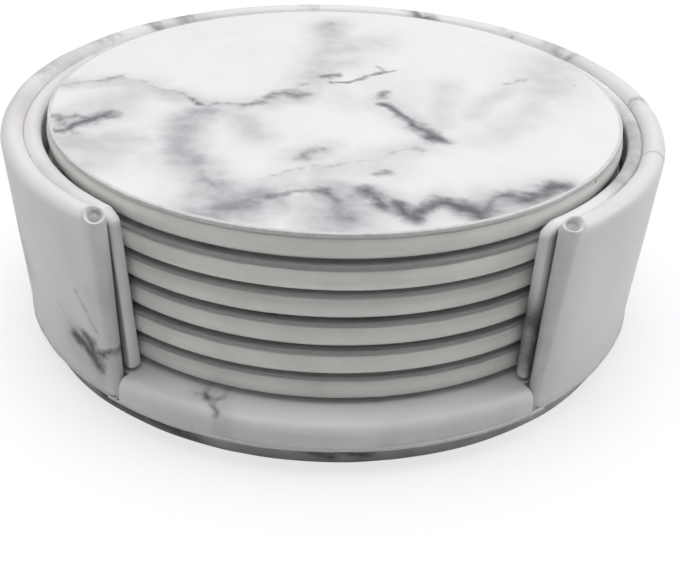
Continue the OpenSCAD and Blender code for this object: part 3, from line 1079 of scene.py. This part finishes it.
def make_floor():
    """The leather over the floor and its lip."""
    lip = lip_profile()
    plain = []
    for r, z in lip:
        flat_top = r < FLOOR_R and z == FLOOR_TOP
        plain.append((r, z) if flat_top else (FLOOR_R, max(FOOT_TOP + CLEAR, min(FLOOR_TOP, z))))
    inside = spaced(FRONT - LIP_HALF, FRONT + LIP_HALF, math.radians(0.5))
    outside = spaced(FRONT + LIP_HALF + SEAM, FRONT + 2 * math.pi - LIP_HALF - SEAM, math.radians(1.5))
    points = []
    for theta in inside + outside:
        profile = lip if theta <= inside[-1] else plain
        c, s = math.cos(theta), math.sin(theta)
        for r, z in profile:
            sags = profile is lip and r > FLOOR_R * 0.9
            sag = LIP_SAG * fractal(r * c, r * s, 0.5, 11 * MM, 2) if sags else 0
            points.append(((r + sag) * c, (r + sag) * s, z + 0.6 * sag))
    rows, cols = len(inside) + len(outside), len(lip)
    faces = [*grid_faces(rows, cols), end_faces(rows, cols)[1]]
    flat = np.array(points)
    plane = warped(flat[:, :2], WARP_SIZE, WARP_AMOUNT * 0.5, 7.7)
    marks = pattern(plane, scaled(FLOOR_VEINS, LIP_R), scaled(FLOOR_CLOUDS, LIP_R))
    piece = make_piece("floor_leather", flat, faces, marks, [WALL_LEATHER])
    dress(piece, "holder", "floor_cover")


def make_lip_edge():
    """The lip's pale cut edge: a thin wavy band with a small tab at each corner."""
    angles = spaced(FRONT - TAB_HALF, FRONT + TAB_HALF, math.radians(0.35))
    inner_r = wall_foot_out + RAW_OUT + LIP_EDGE_IN
    section_shares = ((0, 0), (1, 0), (1.05, 0.5), (1, 1), (0.4, 1.2))
    points = []
    for share_r, share_z in section_shares:
        for theta in angles:
            wave = TAB_WAVE * ring_noise(theta, 0.1, 7 * MM, 2)
            outer_r = LIP_R + LIP_EDGE_OUT + wave * 0.5 * MM
            drop = NOTCH_DEPTH * math.exp(-(((theta - FRONT - NOTCH_PLACE) / NOTCH_HALF) ** 2))
            z = FOOT_TOP + CLEAR + share_z * RAW_HIGH * (1 + wave) - drop * (share_z > 0)
            r = inner_r + (outer_r - inner_r) * share_r
            points.append((r * math.cos(theta), r * math.sin(theta), z))
    rows, cols = len(section_shares), len(angles)
    faces = [*grid_faces(rows, cols), *end_faces(rows, cols)]
    piece = make_piece("lip_cut_edge", points, faces, {}, [CUT_EDGE])
    dress(piece, "holder", "floor_cover")


# Foot: a disc under the wall, its leather with painted shade that deepens towards the top

FOOT_ROUND = 0.6 * MM
FOOT_STEP = 0.5 * MM
FOOT_SIDE_START = 0.9 * MM
FOOT_DENT = 0.12 * MM
FOOT_MARKS = 26
FOOT_SHADE = (0.2, 0.65)

# The foot's upper edge: how far in from its side, and how far below its top
FOOT_EDGE = ((0.12 * MM, 0.15 * MM), (0.4 * MM, 0))

# Broad marks on the foot's front, partly marble and partly painted shade under the lip: millimetres to the
# right and up, half width in millimetres, darkness
FOOT_VEINS = [([(-38, 5), (-24, 5)], 6, 1.0)]
FOOT_CLOUDS = [([(-36, 4), (-22, 4)], 8, 1.0), ([(-12, 4), (30, 4)], 6, 0.7)]


def make_foot():
    """The leather over the foot."""
    profile = [(FOOT_R * k / 10, 0) for k in range(10)] + [(FOOT_R - FOOT_ROUND, 0)]
    profile += rounded_edge(FOOT_R, FOOT_ROUND, FOOT_ROUND, 6)
    profile += [(FOOT_R, z) for z in spaced(FOOT_SIDE_START, FOOT_TOP - FOOT_STEP, FOOT_STEP)]
    profile += [(FOOT_R - inward, FOOT_TOP - drop) for inward, drop in FOOT_EDGE] + [(0, FOOT_TOP)]
    angles = full_turn(1)
    points = []
    for theta in angles:
        for r, z in profile:
            dented = r > FOOT_R * 0.95 and z > 0
            out = r + (FOOT_DENT * ring_noise(theta, z, 8 * MM, 2) if dented else 0)
            points.append((out * math.cos(theta), out * math.sin(theta), z))
    flat = np.array(points)
    plane = np.stack([front_angle(flat) * FOOT_R, flat[:, 2] * 2], -1)
    rng = random.Random(SEED + 2)
    clouds, veins = [], []
    for _ in range(FOOT_MARKS):
        x, z = rng.uniform(-math.pi, math.pi) * FOOT_R, rng.uniform(0, 2 * FOOT_TOP)
        path = [(x, z), (x + rng.uniform(3, 9) * MM, z + rng.uniform(-3, 3) * MM)]
        clouds.append((path, rng.uniform(3, 7) * MM, rng.uniform(0.5, 1.0)))
        veins.append((path, rng.uniform(1.2, 2.6) * MM, rng.uniform(0.3, 0.9)))
    turn = 2 * math.pi * FOOT_R
    marks = pattern(plane, closed_round(veins + scaled(FOOT_VEINS, MM), turn),
                    closed_round(clouds + scaled(FOOT_CLOUDS, MM), turn))
    # Painted shade over the whole foot, strongest at its top under the lip
    least, most = FOOT_SHADE
    marks["shade"] = least + (most - least) * smoothstep(0.3 * FOOT_TOP, FOOT_TOP, flat[:, 2])
    piece = make_piece("foot_leather", flat, grid_faces(len(angles), len(profile)), marks, [WALL_LEATHER])
    dress(piece, "holder", "foot_cover")


# Coasters: how they are drawn against their solids, their soft lower edge, and the print's cut edge

EDGE_SET = 0.5 * MM
EDGE_IN = 2.8 * MM
EDGE_RISE = 2.2 * MM
SHOULDER_ROUND = 0.6 * MM
SHOULDER_IN = 0.35 * MM
SIDE_BOW = 0.11 * MM
HEM = 7.2 * MM
HEM_COVER = 8 * MM
RIPPLE_SIDE = 0.05 * MM
RIPPLE_RISE = 0.06 * MM
PRINT_GROW = 0.45 * MM
PRINT_RING = 0.7 * MM
PRINT_RAGGED = 0.10 * MM
PRINT_OUT = 0.02 * MM
PRINT_EDGE = ((0.22 * MM, 0), (0.06 * MM, 0.04 * MM), (0, 0.12 * MM))
PRINT_EDGE_BAND = 0.3 * MM
# Painted shade near the rim of each print but the uppermost, under the coaster above: how dark, and how far
# in from the rim it starts and is full
OVERHANG_SHADE = 0.5
OVERHANG_SHADE_FROM = 2.3 * MM
OVERHANG_SHADE_TO = 1.1 * MM
TOP_SHIFT = Vector((-0.7 * MM, 0.4 * MM, 0))


def coaster_part(node):
    """Middle, radius, foot and head of a coaster's part, the uppermost coaster's shifted."""
    lo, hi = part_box(node)
    shift = TOP_SHIFT if node.startswith(COASTERS[-1]) else Vector()
    return (lo + hi) / 2 + shift, (hi.x - lo.x) / 2, lo.z, hi.z


def cover_profile(radius, height):
    """Radius and height round a coaster's covering, from under its middle over its soft edge."""
    points = [((radius - EDGE_IN) * k / 8, 0) for k in range(9)]
    points += rounded_edge(radius, EDGE_IN, EDGE_RISE, 10)
    top_r, top_z = radius - SHOULDER_IN, height - SHOULDER_ROUND
    for k in range(1, 7):
        share = k / 6
        bow = SIDE_BOW * math.sin(math.pi * share)
        points.append((radius + (top_r - radius) * share + bow, EDGE_RISE + (top_z - EDGE_RISE) * share))
    for k in range(1, 6):
        a = math.pi / 2 * k / 5
        points.append((top_r - SHOULDER_ROUND * (1 - math.cos(a)), top_z + SHOULDER_ROUND * math.sin(a)))
    return points + [(top_r - HEM_COVER, height), (0, height)]


def make_coaster_cover(name, number):
    """The plain leather round a coaster's underside and edge."""
    centre, radius, low, high = coaster_part(name + "_cover")
    radius -= EDGE_SET
    profile = cover_profile(radius, high - low)
    angles = full_turn(0.8)
    points = []
    for theta in angles:
        ripple = ring_noise(theta, number * 0.3, 16 * MM, 2)
        for r, z in profile:
            edge = ripple * smoothstep(0.9, 0.96, r / radius)
            out = r + RIPPLE_SIDE * edge
            up = low + z + (RIPPLE_RISE * edge if z < EDGE_RISE else 0)
            points.append((centre.x + out * math.cos(theta), centre.y + out * math.sin(theta), up))
    piece = make_piece(name + "_leather", points, grid_faces(len(angles), len(profile)), {}, [PLAIN_LEATHER])
    dress(piece, name, name + "_cover")


def make_coaster_board(name):
    """The stiff disc inside a covering, drawn a little inside it all round."""
    centre, radius, low, high = coaster_part(name + "_board")
    radius, height = radius - EDGE_SET, high - low
    profile = [(0, 0), (radius - EDGE_IN, 0)] + rounded_edge(radius, EDGE_IN, EDGE_RISE, 6)
    profile += [(radius - SHOULDER_IN, height * 0.8), (radius - HEM, height * 0.85)]
    profile += [(radius - HEM, height), (0, height)]
    angles = full_turn(1.5)
    points = [(centre.x + r * math.cos(theta), centre.y + r * math.sin(theta), low + z)
              for theta in angles for r, z in profile]
    piece = make_piece(name + "_core", points, grid_faces(len(angles), len(profile)), {}, [GREYBOARD])
    dress(piece, name, name + "_board")


def print_strokes(name, number, centre, radius):
    """Veins and clouds of a print: the photographed ones on the uppermost coaster, else invented ones."""
    if name == COASTERS[-1]:
        veins = top_strokes(TOP_VEINS_PX, centre, widen=1.35, strength=0.9)
        return veins, top_strokes(TOP_CLOUDS_PX, centre, widen=1.45, strength=1.1)
    rng = random.Random(SEED + 10 * number)
    veins = random_strokes(rng, radius, count=13, step=5 * MM, half_width=1.3 * MM, dark=0.9)
    clouds = [(path, half_width * 3, dark * 0.6) for path, half_width, dark in veins[::2]]
    return veins, clouds + random_strokes(rng, radius, count=6, step=7 * MM, half_width=4 * MM, dark=0.5)


def make_coaster_print(name, number):
    """The marble top sheet with its pale cut edge, and painted shade near the rim under another coaster."""
    centre, radius, low, high = coaster_part(name + "_print")
    radius += PRINT_GROW
    angles = full_turn(0.9)
    rings = [0.0] + spaced(radius * 0.02, radius - 0.6 * MM, PRINT_RING)
    profile = [(r, high) for r in rings] + [(radius - inward, high - drop) for inward, drop in PRINT_EDGE]
    profile += [(radius, low), (0.0, low)]
    points = []
    for theta in angles:
        ragged = min(PRINT_RAGGED * ring_noise(theta, 2.0 + number, 4 * MM), PRINT_OUT)
        for r, z in profile:
            out = r + (ragged if r > radius - PRINT_EDGE_BAND else 0)
            points.append((centre.x + out * math.cos(theta), centre.y + out * math.sin(theta), z))
    flat = np.array(points)
    local = flat[:, :2] - np.array((centre.x, centre.y))
    plane = warped(local, WARP_SIZE, WARP_AMOUNT, 1.3 + number)
    # Painted shade on the rims of the lower prints, under the overhang of the coaster above
    overhang_shade = OVERHANG_SHADE if name != COASTERS[-1] else 0
    near_rim = smoothstep(radius - OVERHANG_SHADE_FROM, radius - OVERHANG_SHADE_TO, axis_distance(local))
    marks = pattern(plane, *print_strokes(name, number, centre, radius))
    marks["shade"] = overhang_shade * near_rim
    faces = grid_faces(len(angles), len(profile))
    # The faces from the last ring outward take the cut edge's material: at the side it is the sheet's real
    # cut edge, on the band along the top corner a painted highlight
    slots = [1 if face[0] % len(profile) >= len(rings) - 1 else 0 for face in faces]
    piece = make_piece(name + "_sheet", flat, faces, marks, [PRINT_LEATHER, CUT_EDGE], slots)
    dress(piece, name, name + "_print")


# Stage

STAGE_HALF = 3.0
FADE_FROM = 52 * MM
FADE_TO = 72 * MM
LEAST_WHITE = 0.72
WHITE = (1, 1, 1, 1)
FLOOR_GREY = (0.74, 0.74, 0.74, 1)
SKY_GREY = (0.97, 0.98, 1.0, 1)
SKY_STRENGTH = 0.08


def make_floor_stage():
    """A pale floor that keeps the object's shadow and fades to plain white away from it."""
    mesh = bpy.data.meshes.new("stage_floor")
    corners = [(x * STAGE_HALF, y * STAGE_HALF, 0) for x, y in ((-1, -1), (1, -1), (1, 1), (-1, 1))]
    mesh.from_pydata(corners, [], [(0, 1, 2, 3)])
    floor = bpy.data.objects.new("stage_floor", mesh)
    bpy.context.collection.objects.link(floor)
    n = Nodes("stage_floor")
    n.shader.inputs["Base Color"].default_value = FLOOR_GREY
    n.shader.inputs["Roughness"].default_value = 0.9
    light_path = n.add("ShaderNodeLightPath")
    white = n.add("ShaderNodeEmission", Strength=1.0)
    white.inputs["Color"].default_value = WHITE
    length = n.add("ShaderNodeVectorMath", operation="LENGTH")
    n.link(n.place(), length.inputs[0])
    far = n.ramp(length.outputs["Value"], FADE_FROM, FADE_TO, to_low=LEAST_WHITE)
    seen = n.math("MULTIPLY", far, light_path.outputs["Is Camera Ray"])
    blend = n.add("ShaderNodeMixShader")
    n.link(seen, blend.inputs[0])
    n.link(n.shader.outputs[0], blend.inputs[1])
    n.link(white.outputs[0], blend.inputs[2])
    n.link(blend.outputs[0], n.tree.nodes["Material Output"].inputs["Surface"])
    mesh.materials.append(n.material)


def make_world():
    """Faint light from all round, behind which the camera sees plain white."""
    world = bpy.data.worlds.new("studio")
    bpy.context.scene.world = world
    world.use_nodes = True
    tree = world.node_tree
    sky = tree.nodes["Background"]
    sky.inputs["Color"].default_value = SKY_GREY
    sky.inputs["Strength"].default_value = SKY_STRENGTH
    white = tree.nodes.new("ShaderNodeBackground")
    white.inputs["Color"].default_value = WHITE
    path = tree.nodes.new("ShaderNodeLightPath")
    mix = tree.nodes.new("ShaderNodeMixShader")
    either = tree.nodes.new("ShaderNodeMath")
    either.operation = "MAXIMUM"
    for source, target in (
            (path.outputs["Is Camera Ray"], either.inputs[0]),
            (path.outputs["Is Transmission Ray"], either.inputs[1]),
            (either.outputs[0], mix.inputs[0]),
            (sky.outputs[0], mix.inputs[1]),
            (white.outputs[0], mix.inputs[2]),
            (mix.outputs[0], tree.nodes["World Output"].inputs["Surface"])):
        tree.links.new(source, target)


def make_lamp(name, place, aim, size, power):
    """A round soft lamp that faces the point aim."""
    data = bpy.data.lights.new(name, "AREA")
    data.shape = "DISK"
    data.size = size
    data.energy = power
    lamp = bpy.data.objects.new(name, data)
    lamp.location = place
    lamp.rotation_euler = (Vector(aim) - Vector(place)).to_track_quat("-Z", "Y").to_euler()
    bpy.context.collection.objects.link(lamp)


make_camera()
make_world()
make_floor_stage()
make_lamp("overhead", place=(-0.03, 0.14, 0.90), aim=(0, 0, 0.03), size=1.0, power=8.3)
make_lamp("front", place=(-0.1, -1.1, 0.14), aim=(0, 0, 0.02), size=0.6, power=0.9)
make_lamp("right", place=(0.66, 0.10, 0.46), aim=(0, 0, 0.02), size=0.45, power=2.2)
make_lamp("left", place=(-0.75, 0.05, 0.30), aim=(0, 0, 0.02), size=0.45, power=1.1)
bpy.context.scene.view_settings.view_transform = "Standard"

make_wall()
make_wall_core()
make_raw_edge()
make_liner()
make_liner_core()
make_floor()
make_lip_edge()
make_foot()
for index, coaster in enumerate(COASTERS):
    make_coaster_cover(coaster, index)
    make_coaster_print(coaster, index)
    make_coaster_board(coaster)
for node_name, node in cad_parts.items():
    if node_name.endswith("_board"):
        node.data.materials.clear()
        node.data.materials.append(GREYBOARD)
